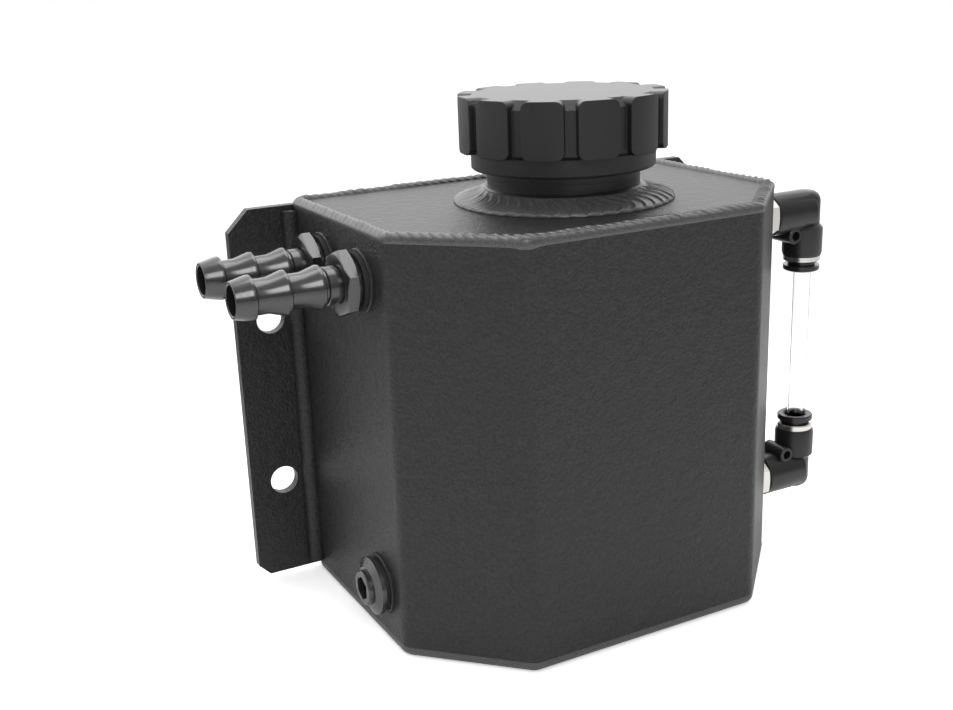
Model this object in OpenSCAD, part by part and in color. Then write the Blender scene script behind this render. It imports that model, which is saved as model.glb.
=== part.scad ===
// Oil catch can: a welded sheet tank with a back plate that bolts to a bulkhead,
// a screw filler cap, two hose barbs, a drain plug and a push-in sight gauge.
// Millimetres, +Z up. The origin is the middle of the tank's base, +Y points to the back plate.

/* [Tank] */
// Width between the outer faces of the side walls
tank_w = 124; // [110:1:180]
// Depth from the front wall's outer face to the back plate
tank_d = 89; // [84:1:140]
// Height from the underside of the base to the top of the lid
tank_h = 116; // [105:1:200]
// Thickness of the folded sheet, the lid, the base and the back plate
sheet_t = 3; // [2:0.5:4]
// Length that each 45 degree corner takes off the front and off the side
corner_leg = 26; // [18:1:32]
// Outer radius of the four bends
bend_r = 4.5; // [4.5:0.5:8]
// How far the lid and the base stop short of the walls' outer faces
plate_inset = 1.5; // [1:0.1:2]

/* [Back plate] */
// Width of the mounting flange outside each side wall
flange_w = 19.5; // [18:0.5:40]
// Height of the plate's lower edge above the underside of the base
plate_low = 2; // [1.5:0.5:2.5]
// Drop from the top of the lid to the plate's upper edge
plate_drop = 1; // [0.8:0.1:1.6]
// Leg of the upper corners' chamfer
plate_cut_top = 6.2; // [2:0.2:8]
// Leg of the lower corners' chamfer
plate_cut_low = 3.4; // [2:0.2:8]
// Diameter of the mounting holes
mount_hole_d = 8.5; // [5:0.1:9]
// Distance from the flange's outer edge to the hole centres
mount_hole_edge = 10.25; // [8:0.25:12]
// Height of the lower pair of mounting holes
mount_hole_low = 31.75; // [15:0.25:40]
// Distance from the lower pair of holes to the upper pair
mount_hole_pitch = 50.5; // [30:0.5:60]

/* [Weld beads] */
// Radius of the bead round the lid
lid_bead_r = 3.2; // [2.8:0.1:3.6]
// Radius of the bead round the base
base_bead_r = 2.6; // [2.4:0.1:3]
// Radius of the beads between the side walls and the back plate
side_bead_r = 2.8; // [2:0.1:3.5]
// How far a bead stands proud of the sheet
bead_proud = 0.6; // [0.3:0.1:0.9]
// Outer diameter of the bead round the filler neck
neck_bead_d = 61.4; // [56:0.2:70]
// Height of that bead where it meets the neck
neck_bead_h = 3.8; // [2.5:0.1:4.2]

/* [Filler neck] */
// Offset of the filler from the middle of the tank, to the right
filler_x = 2; // [-8:0.5:8]
// Outer diameter of the neck and of its thread
neck_d = 42.4; // [38:0.2:46]
// Bore of the neck
neck_bore_d = 35; // [28:0.5:36]
// Height of the neck's rim above the lid
neck_h = 22; // [20:0.5:26]
// Height of the neck's foot ring above the lid
neck_foot_h = 4.3; // [4.3:0.1:6]
// Width of the foot ring's ledge
neck_ledge = 1.2; // [0.8:0.1:2]
// Height of the plain shank between the foot ring and the thread
neck_shank_h = 6.2; // [5:0.1:7]
// Depth of the neck's thread
neck_thread_depth = 1.1; // [0.8:0.1:1.4]
// Length of the neck below the lid
neck_below = 3; // [1:0.5:6]

/* [Filler cap] */
// Diameter over the lobes
cap_d = 57.4; // [54:0.2:64]
// Height of the grip
grip_h = 15.1; // [13:0.1:20]
// Number of lobes
lobes = 12; // [8:1:14]
// Width of a lobe's face
lobe_w = 11.2; // [8:0.1:11.2]
// Depth of the flutes between the lobes
flute_depth = 1.6; // [1:0.1:2]
// Radius of the lobes' corners
lobe_corner_r = 2.1; // [1:0.1:3]
// Bevel of the grip's upper rim between the lobes
grip_bevel = 2.4; // [1:0.1:3]
// Diameter of the plain skirt below the grip
skirt_d = 51; // [50:0.2:53]
// Height of the skirt
skirt_h = 5; // [3:0.1:6]
// Thickness of the cap's top
cap_top_t = 5.2; // [4:0.1:7]
// Thickness of the cap's gasket
gasket_t = 2; // [1:0.1:3]

/* [Hose barbs] */
// Drop from the top of the lid to the barbs' axes
barb_drop = 14; // [14:0.5:20]
// Place of the front barb, back from the middle
barb_front_y = -3.5; // [-6:0.5:-1]
// Distance from the front barb to the rear barb
barb_spacing = 25.5; // [22:0.5:28]
// Length of a barb's tail from its hex to its tip
barb_tail = 28.3; // [28:0.1:34]
// Distance from one crest to the next
barb_pitch = 9; // [8:0.1:9]
// Number of crests
barb_crests = 3; // [1:1:3]
// Diameter over the crests
barb_crest_d = 11.7; // [10.6:0.1:13]
// Diameter between the crests
barb_root_d = 9.2; // [9:0.1:10]
// Diameter of the tip
barb_tip_d = 9.7; // [9.4:0.1:10.4]
// Bore
barb_bore_d = 7.8; // [5:0.1:8]
// Width across flats of the barbs' hexes
barb_hex = 16; // [14:0.5:17]
// Thickness of the hex
barb_hex_t = 4.3; // [3:0.1:6]
// Diameter of the barbs' threads
barb_thread_d = 13; // [12:0.1:13.4]

/* [Drain plug] */
// Height of the drain plug's axis
drain_z = 16.3; // [15.5:0.1:24]
// Distance from the side wall's front fold back to the drain plug
drain_back = 13.5; // [10.5:0.5:38]
// Diameter of the plug's head
drain_head_d = 16.3; // [15:0.1:18]
// Thickness of the head's rim
drain_head_t = 1.2; // [0.8:0.1:2]
// Diameter of the boss on the head
drain_boss_d = 9.8; // [9:0.1:11]
// Height of the boss, bevel included
drain_boss_h = 2.7; // [2:0.1:4]
// Width across flats of the hex socket
drain_socket = 6; // [5:0.5:6.5]
// Depth of the hex socket
drain_socket_deep = 4.8; // [4.5:0.1:5.5]
// Diameter of the plug's thread
drain_thread_d = 12; // [11:0.1:12.6]
// Depth of the plug's thread
drain_thread_depth = 0.9; // [0.6:0.1:1]

/* [Bungs] */
// Diameter of the rims of the bungs for the barbs and the drain
bung_rim_d = 17.2; // [17:0.1:18]
// Height of the bungs' rims outside the wall
bung_rim_h = 0.8; // [0.5:0.1:1.2]
// Depth of the bungs inside the tank's wall
bung_deep = 9; // [8:0.5:12]
// Wall round a bung's thread
bung_wall = 1.4; // [1.2:0.1:1.6]

/* [Seals] */
// Thickness of the sealing rings under the barbs and under the drain plug
seal_t = 1.2; // [0.8:0.1:1.8]
// Width of the sealing rings
seal_w = 1.1; // [0.9:0.1:1.3]

/* [Sight gauge] */
// Distance from the side wall's front fold back to the gauge
gauge_back = 11; // [10:0.5:40]
// Drop from the top of the lid to the upper elbow's inlet
gauge_drop = 12.2; // [12:0.1:20]
// Height of the lower elbow's inlet
gauge_low_z = 19.6; // [15:0.1:30]
// Distance from the side wall to the tube's axis
gauge_reach = 21.4; // [21:0.1:26]
// Outer diameter of the tube
tube_d = 6; // [5.6:0.1:6.2]
// Bore of the tube
tube_bore_d = 4; // [3:0.1:4.4]
// Diameter of the elbows' barrels
elbow_barrel_d = 12.8; // [12.4:0.1:14]
// Diameter of the elbows' ports
port_d = 12.6; // [12.4:0.1:13.6]
// Length of a port from the inlet's axis
port_h = 13.6; // [13.4:0.1:16]
// Length of the bright ring that shows at a port's mouth
port_ring_h = 2; // [1.5:0.1:3]
// Travel of a release collet
collet_travel = 1; // [0.6:0.1:1.2]
// Diameter of a release collet's flange
collet_flange_d = 11; // [10.4:0.1:12]
// Thickness of a release collet's flange
collet_flange_t = 1.6; // [1:0.1:2.2]
// Width across flats of the elbows' studs
stud_hex = 12; // [11:0.5:12.5]
// Thickness of the studs' hexes
stud_hex_t = 5.4; // [4:0.1:5.8]
// Diameter of the studs' threads
stud_thread_d = 9.6; // [9.2:0.1:9.8]
// Diameter of the small fixing hole in an elbow's eye
eye_hole_d = 3; // [2:0.1:3.2]

/* [Fits] */
// Radial clearance of a thread or a pressed piece in its hole
fit_gap = 0.05; // [0.02:0.01:0.08]
// Radial clearance between pieces that turn or slide clear of each other
free_gap = 0.4; // [0.3:0.05:0.5]

/* [Hidden] */
$fn = 96;
hex_corner = 1 / cos(30);

half_w = tank_w / 2;
half_d = tank_d / 2;
lid_z = tank_h - sheet_t;
fold_y = -half_d + corner_leg;
bend_k = sqrt(2) - 1;
bead_stop = 0.43;
bead_ball = 1.09;
bead_back = 1.03;
bead_back_ball = 1.06;
diag = [-sqrt(0.5), -sqrt(0.5)];
bend_side = [-half_w + bend_r, -half_d + corner_leg + bend_k * bend_r];
bend_front = [-half_w + corner_leg + bend_k * bend_r, -half_d + bend_r];

plate_w = tank_w + 2 * flange_w;
plate_top = tank_h - plate_drop;
mount_hole_x = plate_w / 2 - mount_hole_edge;

neck_r = neck_d / 2;
rim_z = tank_h + neck_h;
thread_z = tank_h + neck_foot_h + neck_shank_h;
ceiling_z = rim_z + gasket_t;
cap_top_z = ceiling_z + cap_top_t;
grip_z = cap_top_z - grip_h;
skirt_z = grip_z - skirt_h;
flute_r = cap_d / 2 - flute_depth;
lobe_turn = 17.5;

barb_z = tank_h - barb_drop;
barb_rear_y = barb_front_y + barb_spacing;
bung_bore_r = barb_thread_d / 2 + fit_gap;
bung_body_r = bung_bore_r + bung_wall;
barb_hex_s = bung_rim_h + seal_t;
barb_tip_s = barb_hex_s + barb_hex_t + barb_tail;
barb_lead = 5.8;
barb_cone = 4.6;
barb_land = 0.8;
barb_turn_front = 15;
barb_turn_rear = 40;
drain_y = fold_y + drain_back;
drain_bore_r = drain_thread_d / 2 + fit_gap;
drain_body_r = drain_bore_r + bung_wall;
drain_head_s = bung_rim_h + seal_t;
drain_bevel = drain_head_t;

gauge_y = fold_y + gauge_back;
gauge_top_z = tank_h - gauge_drop;
stud_bore_r = stud_thread_d / 2 + fit_gap;
stud_body_r = stud_bore_r + bung_wall;
sight_rim_d = 2 * stud_body_r + 2;
stud_hex_s = bung_rim_h + 0.8;
barrel_s = stud_hex_s + stud_hex_t + 1.2;
barrel_r = elbow_barrel_d / 2;
barrel_end = 5.3;
barrel_round = 2.6;
nose_r = 4.2;
nose_short = 4;
nose_s = gauge_reach - nose_short;
nose_groove_s = barrel_s + 3.6;
nose_groove_w = 1.2;
nose_wire_r = 0.5;
flow_r = 2;
inlet_flow_r = 2.2;
port_r = port_d / 2;
port_neck_r = port_r - 1.5;
port_neck_h = 5.6;
tube_r = tube_d / 2;
tube_stop = 3.6;
seal_seat = 5.4;
seal_wire_r = 0.9;
seal_bore_r = tube_r + 2 * seal_wire_r + 4 * fit_gap;
grip_seat = seal_seat + 2 * seal_wire_r + 1.2;
grip_t = 0.4;
grip_drop = 0.8;
grip_teeth = 8;
housing_r = seal_bore_r + 0.3;
ring_seat = grip_seat + grip_t;
ring_r = housing_r - fit_gap;
ring_end = port_h + port_ring_h;
sleeve_r = ring_r - 0.4;
collet_gap = 0.3;
collet_bore_r = tube_r + collet_gap;
collet_r = collet_bore_r + 0.85;
collet_nose = ring_seat + collet_travel + 0.4;
collet_lip = 0.6;
sleeve_step = port_h - 1;
collet_flange_s = ring_end + collet_travel + 0.2;
collet_end = collet_flange_s + collet_flange_t;
eye_off = port_r + 0.3;
eye_r = eye_hole_d / 2 + 1;
eye_half = 4.5;

// Places a piece on the left wall, with its own Z running out from the wall's face
module on_left_wall(y, z) {
    translate([-half_w, y, z])
        rotate([0, -90, 0])
            children();
}

// Places a piece on the right wall, with its own Z running out from the wall's face
module on_right_wall(z) {
    translate([half_w, gauge_y, z])
        rotate([0, 90, 0])
            children();
}

// Places a piece at an elbow's inlet, with its own Z the way that the elbow's port looks
module at_inlet(z, way) {
    translate([half_w, gauge_y, z])
        rotate([way > 0 ? 0 : 180, 0, 0])
            children();
}

// Places a piece in a port, with its own Z running out of the port from the inlet's axis
module in_port(z, way) {
    at_inlet(z, way)
        translate([gauge_reach, 0, 0])
            children();
}

// A straight tube from z0 to z1
module ring(r_out, r_in, z0, z1) {
    translate([0, 0, z0])
        difference() {
            cylinder(r = r_out, h = z1 - z0);
            translate([0, 0, -1])
                cylinder(r = r_in, h = z1 - z0 + 2);
        }
}

// A hexagonal prism with both rims turned down
module hex_nut(across, t, z0) {
    r = across / 2;
    turned = across * hex_corner / 2 - 0.25;
    drop = 0.5;
    intersection() {
        translate([0, 0, z0])
            cylinder(r = r * hex_corner, h = t, $fn = 6);
        union() {
            translate([0, 0, z0])
                cylinder(r1 = turned - 1, r2 = turned + 0.3, h = drop);
            translate([0, 0, z0 + drop])
                cylinder(r = r * hex_corner + 1, h = t - 2 * drop);
            translate([0, 0, z0 + t - drop])
                cylinder(r1 = turned + 0.3, r2 = turned - 1, h = drop);
        }
    }
}

// The tank's outline in plan, moved in from the walls' outer faces
module outline(inset, back) {
    r = bend_r - inset;
    left = [bend_side + r * [-1, 0], bend_side + r * diag, bend_front + r * diag,
        bend_front + r * [0, -1]];
    right = [for (i = [3:-1:0]) [-left[i][0], left[i][1]]];
    polygon(concat([[-half_w + inset, back]], left, right, [[half_w - inset, back]]));
    for (side = [-1, 1])
        for (c = [bend_side, bend_front])
            translate([side * c[0], c[1]])
                circle(r = r);
}

// The corners of a weld's centre line, in from the walls' outer faces
function bead_line(inset, back, z) = let (
    a = [half_w - inset, -half_d + corner_leg + bend_k * inset],
    b = [half_w - corner_leg - bend_k * inset, -half_d + inset])
    [[-a[0], back, z], [-a[0], a[1], z], [-b[0], b[1], z], [b[0], b[1], z],
        [a[0], a[1], z], [a[0], back, z]];

// A round bead with a ball at each corner. The runs of the open line end at the back run, which is
// a little thicker, and its balls are thicker still
module bead_loop(points, r) {
    last = len(points) - 1;
    for (i = [0:last - 1]) {
        run = points[i + 1] - points[i];
        d0 = i == 0 ? 0 : bead_stop * r;
        d1 = i == last - 1 ? 0 : bead_stop * r;
        translate(points[i])
            rotate([0, 90, atan2(run[1], run[0])])
                translate([0, 0, d0])
                    cylinder(r = r, h = norm(run) - d0 - d1);
    }
    for (i = [1:last - 1])
        translate(points[i])
            sphere(r = bead_ball * r);
    translate(points[0])
        rotate([0, 90, 0])
            cylinder(r = bead_back * r, h = norm(points[last] - points[0]));
    for (i = [0, last])
        translate(points[i])
            sphere(r = bead_back_ball * r);
}

module lid_bead() {
    inset = lid_bead_r - bead_proud;
    back = half_d + sheet_t - 1.1 * lid_bead_r;
    bead_loop(bead_line(inset, back, tank_h - inset), lid_bead_r);
}

module base_bead() {
    inset = base_bead_r - bead_proud;
    back = half_d + sheet_t - 1.1 * base_bead_r;
    bead_loop(bead_line(inset, back, bead_ball * base_bead_r), base_bead_r);
}

module tank_shell() {
    color([0.16, 0.16, 0.165])
        difference() {
            translate([0, 0, sheet_t])
                linear_extrude(lid_z - sheet_t)
                    difference() {
                        outline(0, half_d);
                        outline(sheet_t, half_d + 1);
                    }
            for (y = [barb_front_y, barb_rear_y])
                on_left_wall(y, barb_z)
                    cylinder(r = bung_body_r + fit_gap, h = 3 * sheet_t, center = true);
            on_left_wall(drain_y, drain_z)
                cylinder(r = drain_body_r + fit_gap, h = 3 * sheet_t, center = true);
            for (z = [gauge_low_z, gauge_top_z])
                on_right_wall(z)
                    cylinder(r = stud_body_r + fit_gap, h = 3 * sheet_t, center = true);
        }
}

module plate_corner_cut(side, z, leg) {
    translate([side * plate_w / 2, half_d + sheet_t / 2, z])
        rotate([0, 45, 0])
            cube([leg * sqrt(2), 2 * sheet_t, leg * sqrt(2)], center = true);
}

module back_plate() {
    color([0.13, 0.13, 0.135])
        difference() {
            translate([-plate_w / 2, half_d, plate_low])
                cube([plate_w, sheet_t, plate_top - plate_low]);
            for (side = [-1, 1]) {
                plate_corner_cut(side, plate_top, plate_cut_top);
                plate_corner_cut(side, plate_low, plate_cut_low);
                for (k = [0, 1])
                    translate([side * mount_hole_x, half_d - 1, mount_hole_low + k * mount_hole_pitch])
                        rotate([-90, 0, 0])
                            cylinder(d = mount_hole_d, h = sheet_t + 2);
            }
        }
}

module top_plate() {
    color([0.2, 0.2, 0.205])
        difference() {
            translate([0, 0, lid_z])
                linear_extrude(sheet_t)
                    outline(plate_inset, half_d);
            translate([filler_x, 0, lid_z - 1])
                cylinder(r = neck_r + fit_gap, h = sheet_t + 2);
        }
}

module base_plate() {
    color([0.16, 0.16, 0.165])
        linear_extrude(sheet_t)
            outline(plate_inset, half_d);
}

// What the welds run along: the walls, the lid, the base and the back plate, as solid blocks
module welded_blocks() {
    translate([0, 0, sheet_t])
        linear_extrude(lid_z - sheet_t)
            outline(0, half_d);
    translate([0, 0, lid_z])
        linear_extrude(sheet_t)
            outline(plate_inset, half_d);
    linear_extrude(sheet_t)
        outline(plate_inset, half_d);
    translate([-plate_w / 2, half_d, plate_low])
        cube([plate_w, sheet_t, plate_top - plate_low]);
}

module lid_weld() {
    color([0.3, 0.3, 0.31])
        difference() {
            lid_bead();
            welded_blocks();
        }
}

module base_weld() {
    color([0.3, 0.3, 0.31])
        difference() {
            base_bead();
            welded_blocks();
        }
}

module side_welds() {
    off = side_bead_r / 3;
    z0 = 2 * base_bead_r;
    z1 = tank_h + bead_proud - 2 * lid_bead_r;
    color([0.25, 0.25, 0.26])
        difference() {
            for (side = [-1, 1])
                translate([side * (half_w + off), half_d - off, z0])
                    cylinder(r = side_bead_r, h = z1 - z0);
            translate([-half_w, 0, 0])
                cube([tank_w, half_d + sheet_t, tank_h]);
            translate([-plate_w / 2, half_d, 0])
                cube([plate_w, sheet_t, tank_h]);
        }
}

module neck_weld() {
    foot = neck_r + neck_ledge;
    reach = neck_bead_d / 2 - foot;
    color([0.34, 0.34, 0.35])
        translate([filler_x, 0, tank_h])
            rotate_extrude()
                polygon(concat([[foot, 0]], [for (k = [0:0.125:1])
                    [foot + reach * (1 - k), neck_bead_h * (k + 0.2 * sin(180 * k))]]));
}

module filler_neck() {
    foot = neck_r + neck_ledge;
    root = neck_r - neck_thread_depth;
    bevel = 0.5;
    color([0.12, 0.12, 0.125])
        translate([filler_x, 0, 0])
            rotate_extrude()
                polygon([[neck_bore_d / 2, lid_z - neck_below], [neck_r, lid_z - neck_below],
                    [neck_r, tank_h], [foot, tank_h], [foot, tank_h + neck_foot_h - bevel],
                    [foot - bevel, tank_h + neck_foot_h], [neck_r, tank_h + neck_foot_h],
                    [neck_r, thread_z - neck_thread_depth], [root, thread_z],
                    [root, rim_z - bevel], [root - bevel, rim_z], [neck_bore_d / 2, rim_z]]);
}

module cap_gasket() {
    color([0.05, 0.05, 0.05])
        translate([filler_x, 0, 0])
            ring(neck_r, neck_bore_d / 2 + 0.5, rim_z, ceiling_z);
}

// The raised face of one lobe, seen from outside: a block with four round corners
module lobe_face() {
    corner = [lobe_w / 2 - lobe_corner_r, grip_h / 2 - lobe_corner_r];
    translate([0, grip_h / 2])
        polygon([for (turn = [0:90:270])
            for (a = [turn:15:turn + 90])
                [sign(cos(turn + 45)) * corner[0] + lobe_corner_r * cos(a),
                    sign(sin(turn + 45)) * corner[1] + lobe_corner_r * sin(a)]]);
}

module cap_lobes() {
    step = 360 / lobes;
    inner = flute_r - grip_bevel - 1;
    intersection() {
        translate([0, 0, grip_z - 1])
            cylinder(r = cap_d / 2, h = grip_h + 2);
        for (i = [0:lobes - 1])
            rotate([0, 0, lobe_turn + i * step])
                translate([inner, 0, grip_z])
                    rotate([90, 0, 90])
                        linear_extrude(cap_d / 2 - inner + 1)
                            lobe_face();
    }
}

module filler_cap() {
    low_bevel = 0.8;
    color([0.1, 0.1, 0.105])
        translate([filler_x, 0, 0])
            difference() {
                union() {
                    cap_lobes();
                    rotate_extrude()
                        polygon([[0, skirt_z], [skirt_d / 2 - 0.4, skirt_z], [skirt_d / 2, skirt_z + 0.4],
                            [skirt_d / 2, grip_z], [flute_r - low_bevel, grip_z],
                            [flute_r, grip_z + low_bevel], [flute_r, cap_top_z - grip_bevel],
                            [flute_r - grip_bevel, cap_top_z], [0, cap_top_z]]);
                }
                translate([0, 0, skirt_z - 1])
                    cylinder(r = neck_r + free_gap, h = ceiling_z - skirt_z + 1);
            }
}

// A weld-in bung: a rim outside the wall and a threaded body inside it
module bung(rim_d, body_r, bore_r) {
    color([0.2, 0.2, 0.205])
        difference() {
            union() {
                translate([0, 0, -bung_deep])
                    cylinder(r = body_r, h = bung_deep);
                cylinder(d = rim_d, h = bung_rim_h - 0.3);
                translate([0, 0, bung_rim_h - 0.3])
                    cylinder(d1 = rim_d, d2 = rim_d - 0.6, h = 0.3);
            }
            translate([0, 0, -bung_deep - 1])
                cylinder(r = bore_r, h = bung_deep + bung_rim_h + 2);
        }
}

// A sealing ring squeezed between a bung's rim and the piece that is screwed down on it
module face_seal(bore_r) {
    r_in = bore_r + 0.1;
    color([0.04, 0.04, 0.04])
        difference() {
            translate([0, 0, bung_rim_h])
                cylinder(r = r_in + seal_w, h = seal_t);
            translate([0, 0, bung_rim_h - 1])
                cylinder(r = r_in, h = seal_t + 2);
        }
}

module barb_bung() {
    bung(bung_rim_d, bung_body_r, bung_bore_r);
}

module drain_bung() {
    bung(bung_rim_d, drain_body_r, drain_bore_r);
}

module sight_bung() {
    bung(sight_rim_d, stud_body_r, stud_bore_r);
}

module barb_seal() {
    face_seal(bung_bore_r);
}

module drain_seal() {
    face_seal(drain_bore_r + 0.2);
}

// A barbed tail with an integral hex and thread. Seen from the tip, each crest is a long cone,
// a short land and a short drop
module hose_barb(turn) {
    root_r = barb_root_d / 2;
    crest_r = barb_crest_d / 2;
    tip_r = barb_tip_d / 2;
    hex_end = barb_hex_s + barb_hex_t;
    collar_r = root_r + 0.6;
    first = barb_tip_s - barb_lead;
    crest = [[root_r, -barb_land - 0.1], [crest_r, 0.5 - barb_land], [crest_r, 0.5], [root_r, barb_cone]];
    base = [[0, 1 - bung_deep], [barb_thread_d / 2 - 0.8, 1 - bung_deep], [barb_thread_d / 2, 1.8 - bung_deep],
        [barb_thread_d / 2, barb_hex_s + 1], [root_r, barb_hex_s + 1], [root_r, hex_end + 1.5],
        [collar_r - 0.3, hex_end + 1.5], [collar_r, hex_end + 1.8], [collar_r, hex_end + 2.5],
        [root_r + 0.2, hex_end + 2.9]];
    crests = [for (i = [barb_crests - 1:-1:0])
        for (p = crest)
            if (i > 0 || p[1] < barb_cone)
                [p[0], first - i * barb_pitch + p[1]]];
    tip = [[tip_r, barb_tip_s - 0.3], [tip_r - 0.3, barb_tip_s], [0, barb_tip_s]];
    color([0.09, 0.09, 0.095])
        difference() {
            union() {
                rotate([0, 0, turn])
                    hex_nut(barb_hex, barb_hex_t, barb_hex_s);
                rotate_extrude()
                    polygon(concat(base, crests, tip));
            }
            translate([0, 0, -bung_deep])
                cylinder(d = barb_bore_d, h = bung_deep + barb_tip_s + 1);
        }
}

module drain_plug() {
    bevel_r = drain_boss_d / 2 + 0.8;
    root = drain_thread_d / 2 - drain_thread_depth;
    rim_s = drain_head_s + drain_head_t;
    boss_s = rim_s + drain_bevel;
    end_s = rim_s + drain_boss_h - 0.3;
    color([0.12, 0.12, 0.125])
        difference() {
            rotate_extrude()
                polygon([[0, -bung_deep + 1], [root - 0.6, -bung_deep + 1], [root, -bung_deep + 1.6],
                    [root, drain_head_s - 0.6], [drain_thread_d / 2, drain_head_s - 0.3],
                    [drain_thread_d / 2, drain_head_s], [drain_head_d / 2, drain_head_s],
                    [drain_head_d / 2, rim_s], [bevel_r, boss_s], [drain_boss_d / 2, boss_s],
                    [drain_boss_d / 2, end_s], [drain_boss_d / 2 - 0.3, end_s + 0.3], [0, end_s + 0.3]]);
            translate([0, 0, end_s + 0.3 - drain_socket_deep])
                cylinder(d = drain_socket * hex_corner, h = drain_socket_deep + 1, $fn = 6);
        }
}

module elbow_stud() {
    groove_r = nose_r - 2 * nose_wire_r;
    color([0.78, 0.76, 0.7])
        difference() {
            union() {
                hex_nut(stud_hex, stud_hex_t, stud_hex_s);
                rotate_extrude()
                    polygon([[0, -bung_deep + 1], [stud_thread_d / 2, -bung_deep + 1],
                        [stud_thread_d / 2, stud_hex_s + 1], [nose_r, stud_hex_s + 2], [nose_r, nose_groove_s],
                        [groove_r, nose_groove_s], [groove_r, nose_groove_s + nose_groove_w],
                        [nose_r, nose_groove_s + nose_groove_w], [nose_r, nose_s - 0.5],
                        [nose_r - 0.5, nose_s], [0, nose_s]]);
            }
            translate([0, 0, -bung_deep])
                cylinder(r = inlet_flow_r, h = bung_deep + nose_s + 1);
        }
}

// A round ring of wire
module wire_ring(r, wire_r, z) {
    translate([0, 0, z])
        rotate_extrude()
            translate([r, 0])
                circle(r = wire_r);
}

module stud_seal() {
    color([0.04, 0.04, 0.04])
        wire_ring(nose_r - nose_wire_r + fit_gap / 2, nose_wire_r, nose_groove_s + nose_groove_w / 2);
}

// The elbow's plastic body: a barrel out from the wall, a port across it and a fixing eye between
// them. Its own X runs out from the wall and its own Z out of the port
module elbow_body() {
    end_s = gauge_reach + barrel_end;
    color([0.1, 0.1, 0.105])
        difference() {
            union() {
                rotate([0, 90, 0])
                    rotate_extrude()
                        polygon(concat([[0, barrel_s], [barrel_r - 0.4, barrel_s], [barrel_r, barrel_s + 0.4]],
                            [for (a = [0:15:90]) [barrel_r - barrel_round + barrel_round * cos(a),
                                end_s - barrel_round + barrel_round * sin(a)]], [[0, end_s]]));
                translate([gauge_reach, 0, 0])
                    rotate_extrude()
                        polygon([[0, 0], [port_neck_r, 0], [port_neck_r, port_neck_h], [port_r, port_neck_h + 0.6],
                            [port_r, port_h - 0.3], [port_r - 0.3, port_h], [0, port_h]]);
                translate([gauge_reach - eye_off, 0, eye_off])
                    rotate([90, 0, 0])
                        cylinder(r = eye_r, h = 2 * eye_half, center = true);
            }
            translate([barrel_s - 1, 0, 0])
                rotate([0, 90, 0])
                    cylinder(r = nose_r + fit_gap, h = nose_s - barrel_s + 1.2);
            translate([nose_s - 1, 0, 0])
                rotate([0, 90, 0])
                    cylinder(r = inlet_flow_r, h = gauge_reach - nose_s + 2.5);
            translate([gauge_reach, 0, 0]) {
                translate([0, 0, -1])
                    cylinder(r = flow_r, h = tube_stop + 2);
                translate([0, 0, tube_stop])
                    cylinder(r = tube_r + fit_gap, h = seal_seat - tube_stop + 1);
                translate([0, 0, seal_seat])
                    cylinder(r = seal_bore_r, h = grip_seat - seal_seat + 1);
                translate([0, 0, grip_seat])
                    cylinder(r = housing_r, h = port_h - grip_seat + 1);
            }
            translate([gauge_reach - eye_off, 0, eye_off])
                rotate([90, 0, 0])
                    cylinder(d = eye_hole_d, h = 2 * eye_half + 2, center = true);
        }
}

module tube_seal() {
    color([0.04, 0.04, 0.04])
        wire_ring((tube_r + seal_bore_r) / 2, seal_wire_r, seal_seat + seal_wire_r + fit_gap);
}

// The toothed ring that bites the tube: a flat rim with bent-down teeth
module grip_ring() {
    bite = tube_r + 0.15;
    root = bite + 1.1;
    color([0.7, 0.7, 0.7])
        difference() {
            rotate_extrude()
                polygon([[ring_r, grip_seat], [ring_r, ring_seat], [root, ring_seat],
                    [bite, ring_seat - grip_drop], [bite, grip_seat - grip_drop], [root, grip_seat]]);
            for (i = [0:grip_teeth - 1])
                rotate([0, 0, i * 360 / grip_teeth])
                    translate([tube_r - 1, -0.3, grip_seat - grip_drop - 1])
                        cube([root - tube_r + 1, 0.6, grip_drop + grip_t + 2]);
        }
}

// The bright metal sleeve pressed into the port, which keeps the collet in
module port_ring() {
    color([0.82, 0.82, 0.8])
        rotate_extrude()
            polygon([[sleeve_r, ring_seat], [ring_r, ring_seat], [ring_r, port_h], [port_r - 0.1, port_h],
                [port_r - 0.1, ring_end - 0.4], [port_r - 0.5, ring_end], [collet_r + collet_gap, ring_end],
                [collet_r + collet_gap, sleeve_step], [sleeve_r, sleeve_step]]);
}

// The collet that is pressed in to free the tube: a sleeve with a lip inside and a flange outside
module release_collet() {
    lip_r = sleeve_r - collet_gap;
    color([0.08, 0.08, 0.08])
        rotate_extrude()
            polygon([[collet_bore_r, collet_nose], [collet_r, collet_nose], [collet_r, sleeve_step - collet_lip - 0.1],
                [lip_r, sleeve_step - collet_lip - 0.1], [lip_r, sleeve_step - 0.1], [collet_r, sleeve_step - 0.1],
                [collet_r, collet_flange_s], [collet_flange_d / 2, collet_flange_s],
                [collet_flange_d / 2, collet_end - 0.3], [collet_flange_d / 2 - 0.3, collet_end],
                [collet_bore_r + 0.5, collet_end], [collet_bore_r, collet_end - 0.5]]);
}

module sight_tube() {
    color([0.85, 0.9, 0.92, 0.4])
        in_port(gauge_low_z, 1)
            ring(tube_r, tube_bore_d / 2, tube_stop, gauge_top_z - gauge_low_z - tube_stop);
}

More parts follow.
